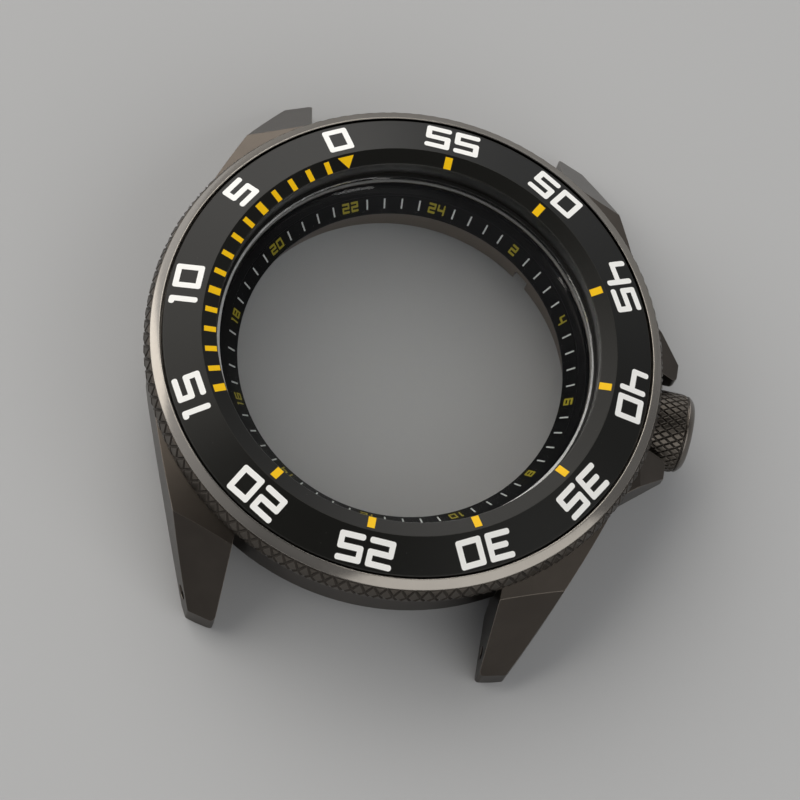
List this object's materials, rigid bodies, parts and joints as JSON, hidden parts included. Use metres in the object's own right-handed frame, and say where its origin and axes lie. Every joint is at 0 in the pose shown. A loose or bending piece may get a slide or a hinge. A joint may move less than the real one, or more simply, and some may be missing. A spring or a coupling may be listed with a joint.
{
  "type": "wristwatch case with rotating bezel",
  "caption": "Steel watch case with drilled lugs, crown guards, a clicking sloped bezel, a flat glass, a sloped inner ring and a screw-down crown.",
  "frame": {"origin": "centre of the back opening, in the plane of the back rim", "axes": "+Z out through the glass along the case axis, +Y to 12 o'clock, +X to the crown at 3 o'clock"},
  "size_m": [0.0469, 0.048, 0.0119],
  "materials": {
    "case_steel": "gunmetal coating over brushed steel",
    "bezel_steel": "gunmetal coating, polished chamfer and lip",
    "crown_steel": "gunmetal coating, knurled",
    "insert_black": "satin black anodised",
    "fill_white": "filled white paint",
    "fill_yellow": "filled yellow paint",
    "ring_black": "gloss black lacquer",
    "print_white": "printed white ink",
    "print_yellow": "printed yellow ink",
    "crystal_glass": "clear, coated against reflections",
    "gasket_plastic": "hard white plastic",
    "adhesive": "adhesive film",
    "seal_rubber": "matte rubber",
    "bright_steel": "bare steel",
    "bush_brass": "turned brass"
  },
  "bodies": {
    "case": {"case_middle": "case_steel", "crystal": "crystal_glass", "crystal_gasket": "gasket_plastic", "chapter_ring": "ring_black", "chapter_minute_ticks": "print_white", "chapter_hour_numerals": "print_yellow", "bezel_gasket": "seal_rubber", "click_spring": "bright_steel", "crown_tube": "crown_steel"},
    "bezel": {"bezel_ring": "bezel_steel", "insert_adhesive": "adhesive", "bezel_insert": "insert_black", "bezel_numerals": "fill_white", "bezel_minute_marks": "fill_yellow"},
    "detent": {"click_ball": "bright_steel"},
    "crown_core": {"crown_post": "bright_steel", "crown_spring": "bright_steel"},
    "crown_cap": {"crown_head": "crown_steel", "crown_bush": "bush_brass", "crown_gasket": "seal_rubber", "crown_o_ring": "seal_rubber"}
  },
  "joints": [
    {"name": "bezel_turn", "type": "hinge", "parent": "case", "child": "bezel", "pos_m": [0, 0, 0.0087], "axis": [0, 0, 1], "continuous": true},
    {"name": "detent_press", "type": "slide", "parent": "case", "child": "detent", "axis": [0, 0, -1], "range_m": [0, 0.00025], "stiffness_N_per_m": 50, "deforming": ["click_spring"]},
    {"name": "crown_turn", "type": "hinge", "parent": "case", "child": "crown_core", "pos_m": [0.0208, 0, 0.0035], "axis": [1, 0, 0], "range_deg": [0, 1260]},
    {"name": "crown_lift", "type": "slide", "parent": "crown_core", "child": "crown_cap", "axis": [1, 0, 0], "range_m": [0, 0.00122], "deforming": ["crown_spring"]}
  ],
  "couplings": [
    {"joint": "crown_turn", "follows": "crown_lift", "rad_per_m": 17952}
  ]
}
